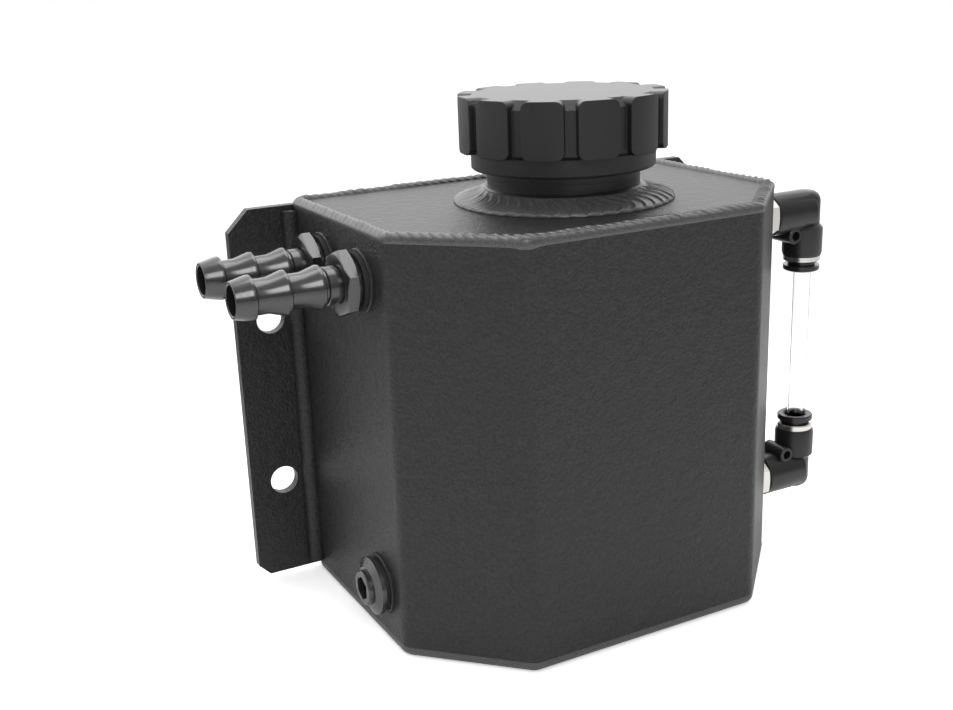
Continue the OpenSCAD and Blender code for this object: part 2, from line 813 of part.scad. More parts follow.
tank_shell();
back_plate();
top_plate();
base_plate();
lid_weld();
base_weld();
side_welds();
neck_weld();
filler_neck();
cap_gasket();
filler_cap();
on_left_wall(barb_front_y, barb_z) barb_bung();  // barb_bung_front
on_left_wall(barb_rear_y, barb_z) barb_bung();  // barb_bung_rear
on_left_wall(barb_front_y, barb_z) barb_seal();  // barb_seal_front
on_left_wall(barb_rear_y, barb_z) barb_seal();  // barb_seal_rear
on_left_wall(barb_front_y, barb_z) hose_barb(barb_turn_front);  // hose_barb_front
on_left_wall(barb_rear_y, barb_z) hose_barb(barb_turn_rear);  // hose_barb_rear
on_left_wall(drain_y, drain_z) drain_bung();
on_left_wall(drain_y, drain_z) drain_seal();
on_left_wall(drain_y, drain_z) drain_plug();
on_right_wall(gauge_top_z) sight_bung();  // sight_bung_top
on_right_wall(gauge_low_z) sight_bung();  // sight_bung_bottom
on_right_wall(gauge_top_z) elbow_stud();  // elbow_stud_top
on_right_wall(gauge_low_z) elbow_stud();  // elbow_stud_bottom
on_right_wall(gauge_top_z) stud_seal();  // stud_seal_top
on_right_wall(gauge_low_z) stud_seal();  // stud_seal_bottom
at_inlet(gauge_top_z, -1) elbow_body();  // elbow_body_top
at_inlet(gauge_low_z, 1) elbow_body();  // elbow_body_bottom
in_port(gauge_top_z, -1) tube_seal();  // tube_seal_top
in_port(gauge_low_z, 1) tube_seal();  // tube_seal_bottom
in_port(gauge_top_z, -1) grip_ring();  // grip_ring_top
in_port(gauge_low_z, 1) grip_ring();  // grip_ring_bottom
in_port(gauge_top_z, -1) port_ring();  // port_ring_top
in_port(gauge_low_z, 1) port_ring();  // port_ring_bottom
in_port(gauge_top_z, -1) release_collet();  // release_collet_top
in_port(gauge_low_z, 1) release_collet();  // release_collet_bottom
sight_tube();
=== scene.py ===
# %% [markdown]
# # Oil catch can
# This notebook dresses a small welded tank that catches oil mist in an engine bay. The exact solids come
# from a imported CAD model, and every step here adds what a solid can't show: the ripples of the weld beads,
# the screw threads and the finish of each material. Everything is in metres, +Z is up, and the origin is
# the middle of the tank's underside, so a new piece goes exactly where the CAD says.

# %% Load the solids
import math
import bmesh
import bpy
from mathutils import Matrix, Vector, noise


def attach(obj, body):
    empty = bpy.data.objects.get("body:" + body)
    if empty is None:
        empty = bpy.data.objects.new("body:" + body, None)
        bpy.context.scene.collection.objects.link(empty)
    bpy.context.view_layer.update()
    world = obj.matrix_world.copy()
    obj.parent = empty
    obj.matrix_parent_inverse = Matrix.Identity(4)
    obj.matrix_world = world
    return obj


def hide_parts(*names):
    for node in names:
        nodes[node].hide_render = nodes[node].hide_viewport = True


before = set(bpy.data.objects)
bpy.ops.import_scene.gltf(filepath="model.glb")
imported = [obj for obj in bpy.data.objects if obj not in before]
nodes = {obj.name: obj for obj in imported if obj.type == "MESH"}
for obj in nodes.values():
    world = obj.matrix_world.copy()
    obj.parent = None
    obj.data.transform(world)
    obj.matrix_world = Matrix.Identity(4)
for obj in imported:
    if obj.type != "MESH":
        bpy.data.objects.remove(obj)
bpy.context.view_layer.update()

MM = 0.001
scene = bpy.context.scene

# %% [markdown]
# ## The camera
# The photograph was taken from the front left and a little above, close enough for strong perspective. The
# camera stands on a circle round a point inside the tank: an azimuth, an elevation and a distance place it,
# and a small roll tilts it. Building its matrix from three directions keeps the aim exact, where a tracking
# constraint would leave the roll to chance.

# %% Camera
azimuth, elevation, roll = (math.radians(a) for a in (-27.551, 17.176, -2.083))
aim, distance = Vector((-19.561, 14.715, 69.84)) * MM, 365.936 * MM
focal_px, picture_px, sensor_mm = 1250.518, 953, 36
back = Vector((math.sin(azimuth) * math.cos(elevation), -math.cos(azimuth) * math.cos(elevation),
               math.sin(elevation)))
right = (-back).cross(Vector((0, 0, 1))).normalized()
up = right.cross(-back)
right, up = (right * math.cos(roll) + up * math.sin(roll), up * math.cos(roll) - right * math.sin(roll))

camera_data = bpy.data.cameras.new("camera")
camera_data.sensor_width = sensor_mm
camera_data.lens = focal_px / picture_px * sensor_mm
camera_data.clip_start = 0.02
camera = bpy.data.objects.new("camera", camera_data)
scene.collection.objects.link(camera)
camera.matrix_world = Matrix.Translation(aim + back * distance) @ Matrix(
    (right, up, back)).transposed().to_4x4()
scene.camera = camera
print("camera at", [round(c, 3) for c in camera.matrix_world.translation], "lens", round(camera_data.lens, 2))

# %% [markdown]
# ## Materials are small networks of nodes
# A finish is a network: textures make a pattern, a bump node turns the pattern into relief, and the
# shader mixes colour, gloss and relief. The two helpers below add one node and wire it in one call, so
# that each finish reads as a short list of what it is made of.

# %% Node helpers
def add_node(tree, kind, settings=None, **inputs):
    """Adds a node, sets its options and fills or wires its inputs (spaces in a name become _)."""
    made = tree.nodes.new(kind)
    for key, value in (settings or {}).items():
        setattr(made, key, value)
    for key, value in inputs.items():
        name = int(key[2:]) if key.startswith("in") and key[2:].isdigit() else key.replace("_", " ")
        socket = made.inputs[name]
        if isinstance(value, bpy.types.NodeSocket):
            tree.links.new(value, socket)
        else:
            socket.default_value = value
    return made


def new_finish(name, colour, **shader_inputs):
    """A material with one Principled shader, ready for its pattern."""
    material = bpy.data.materials.new(name)
    material.use_nodes = True
    shader = material.node_tree.nodes["Principled BSDF"]
    shader.inputs["Base Color"].default_value = (*colour, 1)
    for key, value in shader_inputs.items():
        shader.inputs[key.replace("_", " ")].default_value = value
    return material, material.node_tree, shader


def grey(level):
    return (level, level, level)


# %% [markdown]
# ## Floor and light
# The can stands on a pale floor in a white studio. Black metal shows mostly what it mirrors, so the light
# has to be a whole bright room and not a lamp or two: the world is a soft dome, brighter above and behind,
# which is what the lid and the cap mirror. Camera rays see plain white there. The floor adds a little glow
# for camera rays and for those that pass through the tube, so that it reads as white and still keeps the
# can's shadow. Its colour is painted light: lightest at the can's foot, a painted reflection that brightens
# the low walls, and dark behind it, a painted shade that keeps the edges of the back plate dark.

# %% Floor
bm = bmesh.new()
bmesh.ops.create_grid(bm, x_segments=1, y_segments=1, size=3)
bmesh.ops.translate(bm, vec=(0, 0, -0.1 * MM), verts=bm.verts)
floor_mesh = bpy.data.meshes.new("floor")
bm.to_mesh(floor_mesh)
bm.free()
floor = bpy.data.objects.new("floor", floor_mesh)
scene.collection.objects.link(floor)
floor_finish, tree, shader = new_finish("floor_paper", grey(0.6), Roughness=0.9)
spot = add_node(tree, "ShaderNodeTexCoord").outputs["Object"]
reach = add_node(tree, "ShaderNodeVectorMath", {"operation": "LENGTH"}, in0=spot)
# Painted reflection: the floor is lighter near the can's foot, so that the low walls mirror more light.
near = add_node(tree, "ShaderNodeMapRange", Value=reach.outputs["Value"], From_Min=0.07, From_Max=0.35,
                To_Min=1.0, To_Max=0.6)
split = add_node(tree, "ShaderNodeSeparateXYZ", Vector=spot)
# Painted shade: the floor is darker behind the can, so that the back plate's edges mirror dark.
rear = add_node(tree, "ShaderNodeMapRange", Value=split.outputs["Y"], From_Min=0.18, From_Max=0.30,
                To_Min=0.0, To_Max=1.0)
paper = add_node(tree, "ShaderNodeMix", {"data_type": "FLOAT"}, Factor=rear.outputs[0])
tree.links.new(near.outputs[0], paper.inputs[2])
paper.inputs[3].default_value = 0.2
paint = add_node(tree, "ShaderNodeCombineColor", Red=paper.outputs[0], Green=paper.outputs[0],
                 Blue=paper.outputs[0])
tree.links.new(paint.outputs[0], shader.inputs["Base Color"])
# Camera rays get more glow behind, so that the painted shade there still reads as white.
lift = add_node(tree, "ShaderNodeMapRange", Value=rear.outputs[0], To_Min=0.42, To_Max=0.9)
paths = add_node(tree, "ShaderNodeLightPath")
seen = add_node(tree, "ShaderNodeMath", {"operation": "MAXIMUM"}, in0=paths.outputs["Is Camera Ray"],
                in1=paths.outputs["Is Transmission Ray"])
glow = add_node(tree, "ShaderNodeMath", {"operation": "MULTIPLY"}, in0=seen.outputs[0], in1=lift.outputs[0])
tree.links.new(glow.outputs[0], shader.inputs["Emission Strength"])
shader.inputs["Emission Color"].default_value = (1, 1, 1, 1)
floor.data.materials.append(floor_finish)
print("floor ready")

# %% The white room
world = bpy.data.worlds.new("studio")
world.use_nodes = True
scene.world = world
tree = world.node_tree
room = tree.nodes["Background"]
direction = add_node(tree, "ShaderNodeTexCoord")
parts = add_node(tree, "ShaderNodeSeparateXYZ", Vector=direction.outputs["Generated"])
above = add_node(tree, "ShaderNodeMapRange", Value=parts.outputs["Z"], From_Min=-0.1, From_Max=0.9,
                 To_Min=0.0, To_Max=0.55)
behind = add_node(tree, "ShaderNodeMapRange", Value=parts.outputs["Y"], From_Min=-0.3, From_Max=0.8,
                  To_Min=0.0, To_Max=1.6)
dome = add_node(tree, "ShaderNodeMath", {"operation": "ADD"}, in0=above.outputs[0], in1=behind.outputs[0])
dome = add_node(tree, "ShaderNodeMath", {"operation": "ADD"}, in0=dome.outputs[0], in1=0.15)
paths = add_node(tree, "ShaderNodeLightPath")
plain = add_node(tree, "ShaderNodeMath", {"operation": "MAXIMUM"}, in0=paths.outputs["Is Camera Ray"],
                 in1=paths.outputs["Is Transmission Ray"])
strength = add_node(tree, "ShaderNodeMix", {"data_type": "FLOAT"}, Factor=plain.outputs[0])
tree.links.new(dome.outputs[0], strength.inputs[2])
strength.inputs[3].default_value = 1.0
tree.links.new(strength.outputs[0], room.inputs["Strength"])
room.inputs["Color"].default_value = (1, 1, 1, 1)
scene.view_settings.view_transform = "Standard"
print("room ready")

# %% [markdown]
# Two soft lamps finish the room. One stands in front, a little to the left and above, and draws the bright
# bands on the barbs' cones and the weld beads. The larger one overhead gives the nickel parts their crisp
# highlights and lets the can throw a faint shadow.

# %% Soft lamps
def soft_lamp(name, place, target, size, power):
    lamp = bpy.data.lights.new(name, "AREA")
    lamp.shape, lamp.size, lamp.size_y, lamp.energy = "RECTANGLE", size[0], size[1], power
    holder = bpy.data.objects.new(name, lamp)
    holder.location = place
    holder.rotation_euler = (Vector(target) - Vector(place)).to_track_quat("-Z", "Y").to_euler()
    scene.collection.objects.link(holder)


middle, key_way = Vector((0, 0, 0.06)), Vector((-0.225, -0.774, 0.589))
soft_lamp("key", middle + key_way * 0.8, middle, (0.34, 0.34), 2.0)
soft_lamp("overhead", (0.12, 0.10, 0.80), middle, (0.5, 0.4), 1.6)
print("lamps ready")

# %% [markdown]
# ## Black powder coat
# The sheet is baked in a fine-grained black powder. Close up it is a skin of grains, the largest three
# quarters of a millimetre across, on a faint orange peel. Two noise textures make this relief, and the finer
# one also varies the tint. The coat has no metal look of its own: it is a dielectric, so the shader stays
# non-metallic and its shine comes only from the roughness and the Fresnel effect. The welds have the same
# coat, which lies thinner over their ripples with a finer, shallower grain. Their paler base colour is
# painted
# light: it stands in for the front light that the beads' slopes catch.

# %% Powder coat
def grainy_coat(name, level, rough, grain_mm, depth_mm, ior):
    material, tree, shader = new_finish(name, grey(level), Roughness=rough, IOR=ior)
    place = add_node(tree, "ShaderNodeTexCoord").outputs["Object"]
    grain = add_node(tree, "ShaderNodeTexNoise", Vector=place, Scale=1 / (grain_mm * MM), Detail=3.0,
                     Roughness=0.6)
    peel = add_node(tree, "ShaderNodeTexNoise", Vector=place, Scale=320.0, Detail=1.0)
    relief = add_node(tree, "ShaderNodeMath", {"operation": "MULTIPLY_ADD"}, in0=peel.outputs["Fac"], in1=0.8,
                      in2=grain.outputs["Fac"])
    bump = add_node(tree, "ShaderNodeBump", Height=relief.outputs[0], Distance=depth_mm * MM, Strength=1.0)
    tree.links.new(bump.outputs[0], shader.inputs["Normal"])
    tint = add_node(tree, "ShaderNodeMapRange", Value=grain.outputs["Fac"], From_Min=0.3, From_Max=0.7,
                    To_Min=level * 0.6, To_Max=level * 1.5)
    colour = add_node(tree, "ShaderNodeCombineColor", Red=tint.outputs[0], Green=tint.outputs[0],
                      Blue=tint.outputs[0])
    tree.links.new(colour.outputs[0], shader.inputs["Base Color"])
    return material


powder_coat = grainy_coat("powder_coat", 0.018, 0.40, 0.75, 0.3, 1.42)
# The weld coat's paler base colour is painted light, standing in for the front light that the beads catch.
painted_lit_weld_coat = grainy_coat("coated_weld", 0.06, 0.36, 0.5, 0.03, 1.55)
print("coats ready")

# %% [markdown]
# ## Turned and anodised metal
# The barbs, the neck and the plug are turned on a lathe and dyed black. The tool leaves fine rings round
# the axis, so the pattern is a noise texture that is stretched until it only changes along that axis. The
# dye lets a little of the metal's shine through, which a raised index of refraction shows.

# %% Turned finish
def turned_black(name, level, rough, ring_scale, ring_mm, ior):
    material, tree, shader = new_finish(name, grey(level), Roughness=rough, IOR=ior)
    place = add_node(tree, "ShaderNodeTexCoord").outputs["Object"]
    along = add_node(tree, "ShaderNodeMapping", Vector=place, Scale=ring_scale)
    rings = add_node(tree, "ShaderNodeTexNoise", Vector=along.outputs[0], Scale=1.0, Detail=2.0)
    speck = add_node(tree, "ShaderNodeTexNoise", Vector=place, Scale=2500.0, Detail=2.0)
    relief = add_node(tree, "ShaderNodeMath", {"operation": "MULTIPLY_ADD"}, in0=speck.outputs["Fac"],
                      in1=0.25, in2=rings.outputs["Fac"])
    bump = add_node(tree, "ShaderNodeBump", Height=relief.outputs[0], Distance=ring_mm * MM, Strength=1.0)
    tree.links.new(bump.outputs[0], shader.inputs["Normal"])
    worn = add_node(tree, "ShaderNodeMapRange", Value=rings.outputs["Fac"], From_Min=0.3, From_Max=0.7,
                    To_Min=rough * 0.75, To_Max=rough * 1.3)
    tree.links.new(worn.outputs[0], shader.inputs["Roughness"])
    return material


barb_finish = turned_black("turned_barb", 0.015, 0.2, (3500, 40, 40), 0.012, 1.8)
plug_finish = turned_black("turned_plug", 0.02, 0.25, (3500, 60, 60), 0.008, 1.8)
neck_finish = turned_black("turned_neck", 0.008, 0.3, (30, 30, 3000), 0.01, 1.5)
print("turned finishes ready")

# %% [markdown]
# ## Blasted cap
# The cap is milled from a bar, blasted with glass beads and dyed black, which leaves an even, very fine
# matte grain. Its top mirrors the bright room at a low angle. A bevel node rounds the milled edges a little
# in the shading, so that they catch a thin line of light.

# %% Blasted finish
cap_finish, tree, shader = new_finish("blasted_cap", grey(0.010), Roughness=0.36, IOR=1.5)
place = add_node(tree, "ShaderNodeTexCoord").outputs["Object"]
pits = add_node(tree, "ShaderNodeTexNoise", Vector=place, Scale=1800.0, Detail=3.0, Roughness=0.65)
edge = add_node(tree, "ShaderNodeBevel", {"samples": 4}, Radius=0.45 * MM)
bump = add_node(tree, "ShaderNodeBump", Height=pits.outputs["Fac"], Distance=0.06 * MM, Strength=1.0,
                Normal=edge.outputs[0])
tree.links.new(bump.outputs[0], shader.inputs["Normal"])
print("cap finish ready")

# %% [markdown]
# ## The other finishes
# Bright nickel on the studs and port rings, satin moulded plastic on the elbows, smooth plastic on the
# collets, black rubber for the seals, spring steel for the grip rings, and the clear tube. The tube's wall
# is a real wall, so light bends at its edges by itself. A low index of refraction keeps these lines as thin
# as in the photograph.

# %% Small parts' finishes
def simple_finish(name, colour, rough, scale, depth_mm, **shader_inputs):
    material, tree, shader = new_finish(name, colour, Roughness=rough, **shader_inputs)
    place = add_node(tree, "ShaderNodeTexCoord").outputs["Object"]
    grain = add_node(tree, "ShaderNodeTexNoise", Vector=place, Scale=scale, Detail=2.0)
    bump = add_node(tree, "ShaderNodeBump", Height=grain.outputs["Fac"], Distance=depth_mm * MM, Strength=1.0)
    tree.links.new(bump.outputs[0], shader.inputs["Normal"])
    gloss = add_node(tree, "ShaderNodeMapRange", Value=grain.outputs["Fac"], From_Min=0.3, From_Max=0.7,
                     To_Min=rough * 0.85, To_Max=rough * 1.2)
    tree.links.new(gloss.outputs[0], shader.inputs["Roughness"])
    return material


nickel = simple_finish("bright_nickel", (0.72, 0.70, 0.66), 0.2, 900.0, 0.004, Metallic=1.0)
spring_steel = simple_finish("spring_steel", (0.6, 0.6, 0.6), 0.3, 1500.0, 0.003, Metallic=1.0)
elbow_plastic = simple_finish("elbow_plastic", grey(0.012), 0.33, 1600.0, 0.012, IOR=1.5)
collet_plastic = simple_finish("collet_plastic", grey(0.012), 0.22, 1200.0, 0.004, IOR=1.5)
rubber = simple_finish("seal_rubber", grey(0.01), 0.6, 2200.0, 0.01, IOR=1.5)
clear_tube = simple_finish("clear_tube", grey(0.90), 0.04, 120.0, 0.002, IOR=1.25)
clear_tube.node_tree.nodes["Principled BSDF"].inputs["Transmission Weight"].default_value = 1.0
print("small finishes ready")

# %% Give every solid its finish
finishes = {
    powder_coat: ["tank_shell", "back_plate", "top_plate", "base_plate", "barb_bung_front", "barb_bung_rear",
                  "drain_bung", "sight_bung_top", "sight_bung_bottom"],
    barb_finish: ["hose_barb_front", "hose_barb_rear"],
    plug_finish: ["drain_plug"],
    neck_finish: ["filler_neck"],
    cap_finish: ["filler_cap"],
    nickel: ["elbow_stud_top", "elbow_stud_bottom", "port_ring_top", "port_ring_bottom"],
    spring_steel: ["grip_ring_top", "grip_ring_bottom"],
    elbow_plastic: ["elbow_body_top", "elbow_body_bottom"],
    collet_plastic: ["release_collet_top", "release_collet_bottom"],
    rubber: ["cap_gasket", "barb_seal_front", "barb_seal_rear", "drain_seal", "stud_seal_top",
             "stud_seal_bottom", "tube_seal_top", "tube_seal_bottom"],
    clear_tube: ["sight_tube"],
    painted_lit_weld_coat: ["lid_weld", "base_weld", "side_welds", "neck_weld"],
}
for finish, names in finishes.items():
    for name in names:
        for held in nodes[name].material_slots:
            held.material = finish
print(sum(len(names) for names in finishes.values()), "solids have their finish")

# %% [markdown]
# ## Weld beads
# A welder adds the filler in small pushes, and each push freezes as a crescent that overlaps the last, like
# a row of coins that have tipped over. A flat grid is a good start for this: one direction runs along the
# seam and the other across it. The grid is rolled into a closed bead, every crescent is raised a little,
# and the bead is wrapped round the seam. The same three steps make all the beads on the can.

# %% Crescents
def ripple(along, across, pitch, bulge, seed, lean=0.0):
    """Height of the frozen crescents, 0 to 1. Across runs from -1 to 1 over the bead."""
    wobble = 0.22 * noise.noise(Vector((along / pitch * 0.37, across * 0.8, seed)))
    phase = (along - bulge * (1 - across * across) - lean * across) / pitch + wobble
    part = phase - math.floor(phase)
    fade = 0.75 + 0.5 * noise.noise(Vector((math.floor(phase) * 0.71, 3.1, seed)))
    return fade * (1 - part) ** 1.3 * min(1.0, part / 0.12)


def to_piece(bm, name, finish, body):
    """Turns a bmesh into a piece that rides on a body."""
    bmesh.ops.recalc_face_normals(bm, faces=bm.faces)
    mesh = bpy.data.meshes.new(name)
    bm.to_mesh(mesh)
    bm.free()
    for face in mesh.polygons:
        face.use_smooth = True
    mesh.materials.append(finish)
    piece = bpy.data.objects.new(name, mesh)
    scene.collection.objects.link(piece)
    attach(piece, body)
    print(name, "has", len(mesh.polygons), "faces")
    return piece


def tube_grid(steps, sides):
    """A grid whose x runs 0 to 1 along the bead and whose y runs 0 to 1 round it."""
    bm = bmesh.new()
    bmesh.ops.create_grid(bm, x_segments=steps, y_segments=sides, size=0.5)
    bmesh.ops.translate(bm, vec=(0.5, 0.5, 0), verts=bm.verts)
    return bm


def joined(parts):
    """One bmesh from several."""
    bm = bmesh.new()
    for part in parts:
        held = bpy.data.meshes.new("held")
        part.to_mesh(held)
        part.free()
        bm.from_mesh(held)
        bpy.data.meshes.remove(held)
    return bm


# %% [markdown]
# The lid's seam follows the tank's plan: straight runs with a small bend at each fold. A path is a line of
# many short steps, and a walker gives the point and the direction at any distance along it.

# %% The seam round the tank's plan
half_w, front_y, wall_end_y, back_y = 62 * MM, -44.5 * MM, 44.5 * MM, 47.5 * MM
corner_leg, bend_r, bend_k = 26 * MM, 4.5 * MM, math.sqrt(2) - 1


def plan_path(inset, end_y):
    """Corner points of the seam's middle line, in from the walls' outer faces, from end_y round the front."""
    a = (half_w - inset, front_y + corner_leg + bend_k * inset)
    b = (half_w - corner_leg - bend_k * inset, front_y + inset)
    return [Vector(p) for p in ((-a[0], end_y), (-a[0], a[1]), (-b[0], b[1]), (b[0], b[1]), (a[0], a[1]),
                                (a[0], end_y))]


def rounded(points, radius, closed):
    """The line through the points with each corner replaced by an arc, as many short steps."""
    line, n = [], len(points)
    for i, p in enumerate(points):
        if not closed and i in (0, n - 1):
            line.append(p)
            continue
        before, after = (points[i - 1] - p).normalized(), (points[(i + 1) % n] - p).normalized()
        half = before.angle(after) / 2
        start, middle = p + before * radius / math.tan(half), p + (before + after).normalized() * (
            radius / math.sin(half))
        turn = math.pi - 2 * half
        spin = 1 if before.cross(after) < 0 else -1
        arm = start - middle
        for k in range(7):
            line.append(middle + Matrix.Rotation(spin * turn * k / 6, 2) @ arm)
    return line + [line[0]] if closed else line


def walker(line):
    """A function that gives the point and the direction at a distance along the line, and its length."""
    marks = [0.0]
    for p, q in zip(line, line[1:]):
        marks.append(marks[-1] + (q - p).length)

    def at(s):
        i = max(k for k in range(len(line) - 1) if marks[k] <= s or k == 0)
        p, q = line[i], line[i + 1]
        way = (q - p).normalized()
        return p + way * (s - marks[i]), way
    return at, marks[-1]


# %% [markdown]
# The bead round the lid is a little over 4 mm across, with leaning crescents every 2.8 mm, and the one round
# the base is finer. Only the part outside the sheet shows, so the ripples are raised there, and the rest
# stays a plain tube. Under the lid's bead a thin rim carries the walls up to the bead's lower edge.

# %% Beads round the lid and the base
def seam_bead(name, node, radius, height, shown, pitch, rise, seed, drop=0.0):
    """A rippled bead round the tank. Shown is the span of angles that show: 0 is outward and 90 is up."""
    proud, behind_y = 0.15 * MM, back_y - 0.3 * MM
    inset = radius - proud
    points = plan_path(inset, behind_y - radius)
    at, length = walker(rounded(points, max(bend_r - inset, 0.4 * MM), True))
    bm = tube_grid(int(length / pitch) * 12, 36)
    middle, spread = math.radians(sum(shown) / 2), math.radians((shown[1] - shown[0]) / 2)
    for v in bm.verts:
        s, turn = v.co.x * length, v.co.y * 2 * math.pi
        point, way = at(min(max(s, 0.0), length - 1e-9))
        outward = Vector((-way.y, way.x))
        across = math.remainder(turn - middle, 2 * math.pi) / spread
        r = radius
        if abs(across) < 1:
            lump = noise.noise(Vector((s * 90, seed, 0)))
            high = ripple(s, across, pitch, 0.5 * radius, seed, 1.2 * pitch)
            r += rise * (high - 0.7 + 0.4 * lump) * (1 - across ** 4)
        # The welder stops and starts again at the front left fold, which can leave a drop there
        fold = (point - Vector((corner_leg - half_w, front_y))).length
        r += drop * math.exp(-(fold / (2.6 * MM)) ** 2)
        side = r * math.cos(turn)
        v.co = Vector((point.x + outward.x * side, point.y + outward.y * side, height + r * math.sin(turn)))
    bmesh.ops.remove_doubles(bm, verts=bm.verts, dist=1e-6)
    piece = to_piece(bm, name, painted_lit_weld_coat, "tank")
    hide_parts(node)


seam_bead("lid_bead", "lid_weld", 2.1 * MM, 115.1 * MM, (-22, 155), 2.8 * MM, 0.6 * MM, 1.7, 0.55 * MM)
seam_bead("base_bead", "base_weld", 2.0 * MM, 2.18 * MM, (-80, 60), 2.4 * MM, 0.3 * MM, 5.3)

# %% Rim under the lid's bead
def wall_rim():
    """Carries the walls from the solid's upper edge to the bead."""
    bm = bmesh.new()
    depth, low, high = 1.4 * MM, 113.0 * MM, 114.7 * MM
    lines = [rounded(plan_path(inset, wall_end_y), bend_r - inset, False) for inset in (0.0, depth)]
    corners = [(lines[0], low), (lines[0], high), (lines[1], high), (lines[1], low)]
    rings = [[bm.verts.new((p.x, p.y, z)) for p in line] for line, z in corners]
    for i, ring in enumerate(rings):
        after = rings[(i + 1) % 4]
        for k in range(len(ring) - 1):
            bm.faces.new((ring[k], ring[k + 1], after[k + 1], after[k]))
    for k in (0, -1):
        bm.faces.new([ring[k] for ring in rings])
    piece = to_piece(bm, "wall_rim", powder_coat, "tank")
    piece.data.set_sharp_from_angle(angle=math.radians(30))


wall_rim()

# %% [markdown]
# The bead round the filler neck is the widest: from a low rim it climbs in a straight slope to the neck's
# foot. It is a ring, so its section is spun round the neck's axis, which gives an even mesh with no seam, and
# then two sets of crescents are raised on it.

# %% Bead round the neck
filler_axis = Vector((2, 0, 0)) * MM


def neck_bead():
    inner_r, outer_r, lid_z, crescents = 22.2, 30.7, 116, 44
    section = [(inner_r, 0.0), (outer_r, 0.0), (outer_r, 0.35), (30.62, 0.7), (30.4, 0.95), (30.1, 1.08)]
    section += [(29.7 - 0.42 * k, 1.2 + 0.13 * k) for k in range(15)]
    section += [(23.4, 3.25), (22.9, 3.5), (22.5, 3.68), (inner_r, 3.8)]
    bm = bmesh.new()
    ring = [bm.verts.new(filler_axis + Vector((r, 0, lid_z + z)) * MM) for r, z in section]
    edges = [bm.edges.new((ring[i], ring[(i + 1) % len(ring)])) for i in range(len(ring))]
    bmesh.ops.spin(bm, geom=ring + edges, cent=filler_axis, axis=(0, 0, 1), dvec=(0, 0, 0), angle=2 * math.pi,
                   steps=crescents * 16, use_merge=True, use_normal_flip=False, use_duplicate=False)
    bmesh.ops.remove_doubles(bm, verts=bm.verts, dist=1e-6)
    for v in bm.verts:
        flat = Vector((v.co.x - filler_axis.x, v.co.y))
        r, z = flat.length / MM, v.co.z / MM - lid_z
        if z < 0.2 or r < inner_r + 0.1:
            continue
        across = (r - inner_r) / (outer_r - inner_r) * 2 - 1
        # The angle is counted from the back, where the noise jumps, so that the ripples fade out there
        turn = math.atan2(flat.x, -flat.y) / (2 * math.pi) * crescents
        big = ripple(turn, across, 1.0, 0.9, 2.2, 0.35)
        fine = ripple(turn * 2, across, 1.0, 1.9, 8.1, 0.5)
        meet = min(1.0, abs(abs(turn) - crescents / 2) / 0.6)
        front = 0.5 - 0.5 * flat.y / flat.length
        rise = (0.35 + 0.3 * front) * big + (0.22 - 0.1 * front) * fine - 0.3
        rise *= meet * min(1.0, (r - inner_r) / 1.2)
        rise += 0.15 * noise.noise(Vector((flat.x * 150, flat.y * 150, 4.0)))
        v.co.z += rise * MM * min(1.0, z / 0.6)
    piece = to_piece(bm, "neck_bead", painted_lit_weld_coat, "tank")
    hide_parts("neck_weld")


neck_bead()

# %% [markdown]
# Two upright beads join the side walls to the back plate's flanges. They were smoothed before the coat went
# on, so they are flatter than the others and have the same finish as the walls.

# %% Upright beads
def upright_beads():
    low, high, radius, offset, pitch, rise = (a * MM for a in (4.0, 113.6, 2.8, 0.93, 2.2, 0.2))
    parts = []
    for side in (-1, 1):
        part = tube_grid(int((high - low) / pitch) * 8, 18)
        for v in part.verts:
            s, turn = v.co.x * (high - low), v.co.y * 2 * math.pi
            across = math.remainder(turn - math.radians(225), 2 * math.pi) / math.radians(75)
            r = radius
            if abs(across) < 1:
                r += rise * (ripple(s, across, pitch, pitch, 9.0 + side) - 0.7) * (1 - across ** 4)
            x = side * (half_w + offset - r * math.cos(turn))
            v.co = Vector((x, wall_end_y - offset + r * math.sin(turn), low + s))
        bmesh.ops.remove_doubles(part, verts=part.verts, dist=1e-6)
        bmesh.ops.holes_fill(part, edges=[e for e in part.edges if e.is_boundary], sides=0)
        parts.append(part)
    piece = to_piece(joined(parts), "upright_beads", powder_coat, "tank")
    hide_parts("side_welds")


upright_beads()

# %% [markdown]
# ## Hose barbs
# A barb is turned on a lathe, so its outline is drawn once, as distance from the wall and radius, and spun
# round its axis. The hex is spun the same way, as a disc with bevelled rims, and then every point that lies
# outside the hexagon is pulled back to it. That is what a mill does to the disc, and it leaves the curved
# edges that a real hex has at its corners.

# %% Lathe
def lathe(profile, across=0.0):
    """Spins a closed outline of (distance, radius) in mm round Z. Across is the width over a hex's flats."""
    bm = bmesh.new()
    ring = [bm.verts.new((r * MM, 0, s * MM)) for s, r in profile]
    edges = [bm.edges.new((ring[i], ring[(i + 1) % len(ring)])) for i in range(len(ring))]
    bmesh.ops.spin(bm, geom=ring + edges, cent=(0, 0, 0), axis=(0, 0, 1), dvec=(0, 0, 0), angle=2 * math.pi,
                   steps=240 if across else 120, use_merge=True, use_normal_flip=False, use_duplicate=False)
    bmesh.ops.remove_doubles(bm, verts=bm.verts, dist=1e-7)
    for v in bm.verts:
        flat = Vector((v.co.x, v.co.y))
        off = math.atan2(flat.y, flat.x) % math.radians(60) - math.radians(30)
        limit = across / 2 * MM / math.cos(off)
        if across and flat.length > limit:
            v.co.x, v.co.y = flat * (limit / flat.length)
    return bm


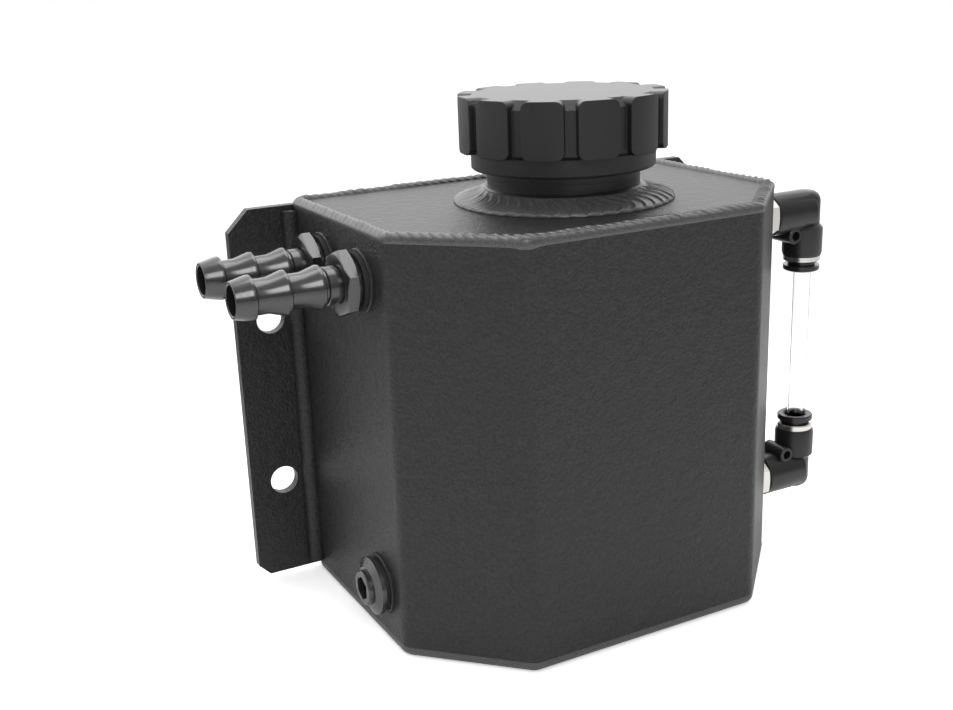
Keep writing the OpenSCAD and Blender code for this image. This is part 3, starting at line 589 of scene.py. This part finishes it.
# %% The two barbs
def barb(name, node, place, turn):
    """One barb on the left wall. Place is the middle of its hole in mm, and turn is the hex's angle."""
    bore_r, screw_r, tail_r, crests = 3.9, 6.5, 4.6, (11.7, 20.7, 29.7)
    tail = [(-8.0, bore_r), (-8.0, 5.7), (-7.2, screw_r), (3.4, screw_r), (3.4, tail_r), (7.2, tail_r),
            (7.2, 4.85), (7.4, 5.1), (10.0, 5.1), (10.25, 4.85), (10.35, tail_r)]
    for crest in crests:
        tail += [(crest - 0.9, tail_r), (crest - 0.35, 5.75), (crest - 0.2, 5.85), (crest + 0.4, 5.85),
                 (crest + 0.55, 5.82)]
        if crest != crests[-1]:
            tail += [(crest + 4.6, tail_r)]
    tail += [(34.3, 4.85), (34.5, 4.78), (34.6, tail_r), (34.6, 4.1), (34.4, bore_r)]
    near, far, core_r, flats = 3.3, 6.8, 4.4, 16.0
    rim = [(0.0, 7.7), (0.08, 7.95), (0.18, 8.2), (0.28, 8.45), (0.38, 8.7), (0.48, 8.95), (0.6, 9.3)]
    disc = [(near, core_r)] + [(near + s, r) for s, r in rim]
    disc += [(far - s, r) for s, r in reversed(rim)] + [(far, core_r)]
    nut = lathe(disc, flats)
    bmesh.ops.rotate(nut, verts=nut.verts, cent=(0, 0, 0), matrix=Matrix.Rotation(math.radians(turn), 3, "Z"))
    bm = joined([lathe(tail), nut])
    onto_wall = Matrix(((0, 0, -1), (0, 1, 0), (1, 0, 0))).to_4x4()
    bmesh.ops.transform(bm, matrix=Matrix.Translation(Vector(place) * MM) @ onto_wall, verts=bm.verts)
    piece = to_piece(bm, name, barb_finish, "tank")
    piece.data.set_sharp_from_angle(angle=math.radians(20))
    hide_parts(node)


barb("barb_front", "hose_barb_front", (-62, -3.5, 102), 51)
barb("barb_rear", "hose_barb_rear", (-62, 22, 102), 54)

# %% [markdown]
# ## The gauge's elbows
# An elbow is a barrel and a port that cross at a right angle, with a small eye in the corner. The three are
# spun like the barbs, each round its own axis, and exact booleans join them and drill the eye. The lower
# elbow is the upper one turned over.

# %% Joining and drilling
def combined(base, other, operation):
    """The mesh of base joined with other, or drilled by it."""
    holders = []
    for bm in (base, other):
        mesh = bpy.data.meshes.new("held")
        bmesh.ops.recalc_face_normals(bm, faces=bm.faces)
        bm.to_mesh(mesh)
        bm.free()
        holders.append(bpy.data.objects.new("held", mesh))
        scene.collection.objects.link(holders[-1])
    cut = holders[0].modifiers.new("cut", "BOOLEAN")
    cut.operation, cut.solver, cut.object = operation, "EXACT", holders[1]
    made = bpy.data.meshes.new_from_object(holders[0].evaluated_get(bpy.context.evaluated_depsgraph_get()))
    for holder in holders:
        bpy.data.objects.remove(holder)
    bm = bmesh.new()
    bm.from_mesh(made)
    return bm


# %% The two elbows and their port rings
def turned_to(bm, axis, place):
    """Turns a spun piece from Z to another axis and moves it, in millimetres."""
    turn = Vector((0, 0, 1)).rotation_difference(Vector(axis)).to_matrix().to_4x4()
    bmesh.ops.transform(bm, matrix=Matrix.Translation(Vector(place) * MM) @ turn, verts=bm.verts)
    return bm


def rounded_end(radius, start, end, r):
    """Outline of a round bar from start to end, with a round corner of radius r at the end."""
    arc = [(end - r + r * math.sin(math.radians(a)), radius - r + r * math.cos(math.radians(a)))
           for a in range(0, 91, 15)]
    return [(start, 0.0), (start, radius - 0.3), (start + 0.3, radius)] + arc + [(end, 0.0)]


def elbow(end, inlet, way):
    """One elbow on the right wall, its hole inlet mm up. Way is 1 for a port that points up, -1 for down."""
    reach, eye_off = 21.4, 6.6
    barrel = turned_to(lathe(rounded_end(6.4, 7.2, reach + 0.6, 0.6)), (1, 0, 0), (0, 0, 0))
    port = lathe([(-6.15, 0.0), (-6.15, 1.9), (-5.9, 3.2), (-5.2, 4.2), (-4.2, 4.8), (-3.2, 5.0), (4.0, 5.0),
                  (5.2, 6.05), (12.6, 6.05), (13.8, 5.7), (13.8, 0.0)])
    port = turned_to(port, (0, 0, 1), (reach, 0, 0))
    corner = (reach - eye_off, 0, eye_off)
    eye = turned_to(lathe([(-4.5, 0.0), (-4.5, 2.2), (-4.3, 2.5), (4.3, 2.5), (4.5, 2.2), (4.5, 0.0)]),
                    (0, 1, 0), corner)
    drill = turned_to(lathe([(-9.0, 0.0), (-9.0, 1.4), (9.0, 1.4), (9.0, 0.0)]), (0, 1, 0), corner)
    body = combined(combined(combined(barrel, port, "UNION"), eye, "UNION"), drill, "DIFFERENCE")
    sleeve = turned_to(lathe([(13.6, 4.5), (13.6, 5.55), (15.2, 5.55), (15.5, 5.25), (15.5, 4.5)]), (0, 0, 1),
                       (reach, 0, 0))
    onto_wall = Matrix.Translation(Vector((62, -7.5, inlet)) * MM)
    if way < 0:
        onto_wall = onto_wall @ Matrix.Rotation(math.pi, 4, "X")
    for bm, node, finish, slot in ((body, "elbow_body_", elbow_plastic, "black_plastic"),
                                   (sleeve, "port_ring_", nickel, "nickel")):
        bmesh.ops.transform(bm, matrix=onto_wall, verts=bm.verts)
        piece = to_piece(bm, "dressed_" + node + end, finish, "tank")
        piece.data.set_sharp_from_angle(angle=math.radians(28))
        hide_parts(node + end)


elbow("top", 103.8, -1)
elbow("bottom", 19.6, 1)

# %% [markdown]
# ## Screw threads
# A thread is one ridge wound round a cylinder. The spin operator also moves each copy along the axis when
# it is given a dvec, so a small flat section becomes a whole thread in one call. The cap's thread has the
# same pitch as the neck's, and lies half a pitch higher, so that its ridges run between the neck's.

# %% Thread helper
def thread(name, finish, body, axis, radius, height, pitch, turns, start, sign=1):
    """A ridge wound round an axis, a point with a direction. Radius is the root's, start is a distance along
    the axis, and sign is -1 for a ridge that points inward."""
    point, direction = axis
    per_turn, sunk = 48, 0.15 * MM
    steps = int(turns * per_turn)
    bm = bmesh.new()
    section = [(-sign * sunk, -0.42), (sign * height, -0.12), (sign * height, 0.12), (-sign * sunk, 0.42)]
    face = bm.faces.new([bm.verts.new((radius + r, 0, z * pitch)) for r, z in section])
    bmesh.ops.spin(bm, geom=[face], cent=(0, 0, 0), axis=(0, 0, 1), dvec=(0, 0, pitch / per_turn),
                   angle=steps / per_turn * 2 * math.pi, steps=steps, use_merge=False,
                   use_normal_flip=False, use_duplicate=False)
    turn = Vector((0, 0, 1)).rotation_difference(Vector(direction)).to_matrix().to_4x4()
    bmesh.ops.translate(bm, vec=(0, 0, start), verts=bm.verts)
    bmesh.ops.transform(bm, matrix=Matrix.Translation(point) @ turn, verts=bm.verts)
    for polygon in to_piece(bm, name, finish, body).data.polygons:
        polygon.use_smooth = False


# %% Threads of the neck, the cap and the plug
neck_axis = (filler_axis, (0, 0, 1))
plug_axis = (Vector((-62, -5, 16.3)) * MM, (-1, 0, 0))
thread("neck_thread", neck_finish, "tank", neck_axis, 20.1 * MM, 0.9 * MM, 2 * MM, 4.6,
       127.7 * MM)
thread("cap_thread", cap_finish, "cap", neck_axis, 21.6 * MM, 0.9 * MM, 2 * MM, 4.2,
       128.7 * MM, -1)
thread("plug_thread", plug_finish, "drain_plug", plug_axis, 5.1 * MM, 0.8 * MM, 1.5 * MM,
       5.2, -7.0 * MM)
